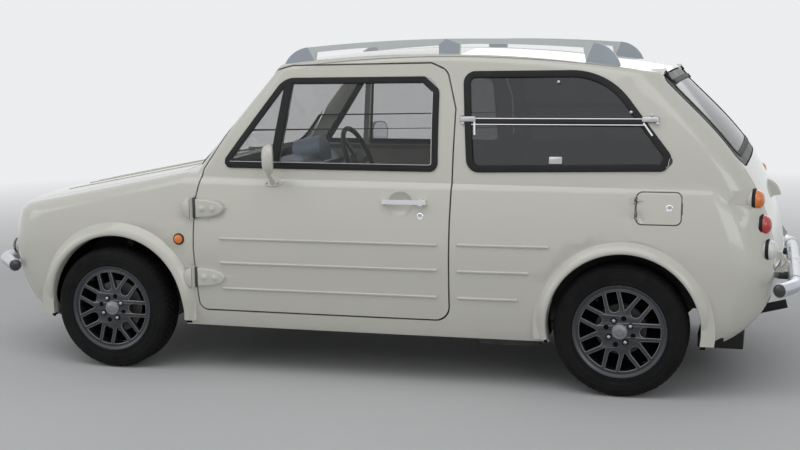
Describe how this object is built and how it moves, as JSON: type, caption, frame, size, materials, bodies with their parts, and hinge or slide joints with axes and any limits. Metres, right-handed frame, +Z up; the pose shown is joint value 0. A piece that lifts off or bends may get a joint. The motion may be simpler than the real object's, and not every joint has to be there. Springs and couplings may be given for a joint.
{
  "type": "compact hatchback",
  "caption": "Small two-volume hatchback car with hinged side doors, split tailgate, lifting bonnet, steered front wheels and roof rails.",
  "frame": {"origin": "on the ground, midway between the bumpers and between the sides", "axes": "+X to the tail, +Y to the car's right side, +Z up"},
  "size_m": [3.7398, 1.767, 1.4748],
  "materials": {
    "body_paint": "gloss",
    "underbody_paint": "satin",
    "tinted_glass": "clear tinted",
    "black_trim": "satin",
    "chrome": "polished",
    "chassis_black": "satin",
    "engine_alloy": "cast",
    "exhaust_steel": "dull",
    "bumper_silver": "metallic satin",
    "rail_silver": "satin",
    "lamp_clear": "moulded clear",
    "lamp_red": "clear coloured",
    "cabin_plastic": "grained",
    "seat_cloth": "woven",
    "wheel_black": "grained",
    "hub_iron": "rough",
    "tyre_rubber": "matt",
    "rim_gunmetal": "satin"
  },
  "bodies": {
    "body": {"side_shell_left": "body_paint", "side_shell_right": "body_paint", "front_fenders": "body_paint", "nose_panel": "body_paint", "cowl": "body_paint", "rear_panel": "body_paint", "floor_pan": "underbody_paint", "roof_panel": "body_paint", "quarter_glass": "tinted_glass", "windscreen": "tinted_glass", "front_suspension": "chassis_black", "rear_axle": "chassis_black", "front_bumper": "bumper_silver", "rear_bumper": "bumper_silver", "roof_rails": "rail_silver", "front_lamps": "lamp_clear", "tail_lamps": "lamp_red", "grille": "body_paint", "engine": "engine_alloy", "fuel_tank": "chassis_black", "exhaust": "exhaust_steel", "dashboard": "cabin_plastic", "seat_cushions": "seat_cloth", "seat_backs": "seat_cloth", "flap_bars": "black_trim", "hatch_hinges": "chrome"},
    "bonnet": {"bonnet": "body_paint"},
    "hatch": {"hatch_frame": "black_trim", "hatch_glass": "tinted_glass"},
    "tailgate": {"tailgate": "body_paint"},
    "fuel_flap": {"fuel_flap": "body_paint"},
    "door_left": {"door_left": "body_paint", "door_glass_left": "tinted_glass", "mirror_left": "body_paint", "door_handle_left": "chrome"},
    "door_right": {"door_right": "body_paint", "door_glass_right": "tinted_glass", "mirror_right": "body_paint", "door_handle_right": "chrome"},
    "knuckle_left": {"knuckle_left": "hub_iron"},
    "knuckle_right": {"knuckle_right": "hub_iron"},
    "wheel_front_left": {"tyre_front_left": "tyre_rubber", "rim_front_left": "rim_gunmetal"},
    "wheel_front_right": {"tyre_front_right": "tyre_rubber", "rim_front_right": "rim_gunmetal"},
    "wheel_rear_left": {"tyre_rear_left": "tyre_rubber", "rim_rear_left": "rim_gunmetal"},
    "wheel_rear_right": {"tyre_rear_right": "tyre_rubber", "rim_rear_right": "rim_gunmetal"},
    "steering_wheel": {"steering_wheel": "wheel_black"}
  },
  "joints": [
    {"name": "steer_left", "type": "hinge", "parent": "body", "child": "knuckle_left", "pos_m": [-1.15, -0.625, 0.277], "axis": [0, 0, 1], "range_deg": [-33, 33]},
    {"name": "steer_right", "type": "hinge", "parent": "body", "child": "knuckle_right", "pos_m": [-1.15, 0.625, 0.277], "axis": [0, 0, 1], "range_deg": [-33, 33]},
    {"name": "steering_wheel_turn", "type": "hinge", "parent": "body", "child": "steering_wheel", "pos_m": [-0.3, 0.35, 0.862], "axis": [0.9272, 0, 0.3746], "range_deg": [-560, 560]},
    {"name": "spin_front_left", "type": "hinge", "parent": "knuckle_left", "child": "wheel_front_left", "pos_m": [-1.15, -0.682, 0.277], "axis": [0, 1, 0], "continuous": true},
    {"name": "spin_front_right", "type": "hinge", "parent": "knuckle_right", "child": "wheel_front_right", "pos_m": [-1.15, 0.682, 0.277], "axis": [0, 1, 0], "continuous": true},
    {"name": "spin_rear_left", "type": "hinge", "parent": "body", "child": "wheel_rear_left", "pos_m": [1.15, -0.675, 0.277], "axis": [0, 1, 0], "continuous": true},
    {"name": "spin_rear_right", "type": "hinge", "parent": "body", "child": "wheel_rear_right", "pos_m": [1.15, 0.675, 0.277], "axis": [0, 1, 0], "continuous": true},
    {"name": "door_left_swing", "type": "hinge", "parent": "body", "child": "door_left", "pos_m": [-0.733, -0.775, 0.6], "axis": [0, 0, -1], "range_deg": [0, 65]},
    {"name": "door_right_swing", "type": "hinge", "parent": "body", "child": "door_right", "pos_m": [-0.733, 0.775, 0.6], "axis": [0, 0, 1], "range_deg": [0, 65]},
    {"name": "bonnet_lift", "type": "hinge", "parent": "body", "child": "bonnet", "pos_m": [-0.8265, 0, 0.92597], "axis": [0, 1, 0], "range_deg": [0, 50]},
    {"name": "hatch_lift", "type": "hinge", "parent": "body", "child": "hatch", "pos_m": [1.29489, 0, 1.33492], "axis": [0, -1, 0], "range_deg": [0, 80]},
    {"name": "tailgate_drop", "type": "hinge", "parent": "body", "child": "tailgate", "pos_m": [1.806, 0, 0.536], "axis": [0, 1, 0], "range_deg": [0, 90]},
    {"name": "fuel_flap_swing", "type": "hinge", "parent": "body", "child": "fuel_flap", "pos_m": [1.2095, -0.752, 0.786], "axis": [0, 0, -1], "range_deg": [0, 95]}
  ],
  "couplings": [
    {"joint": "steer_right", "follows": "steer_left", "ratio": 1},
    {"joint": "steering_wheel_turn", "follows": "steer_left", "ratio": 16}
  ]
}
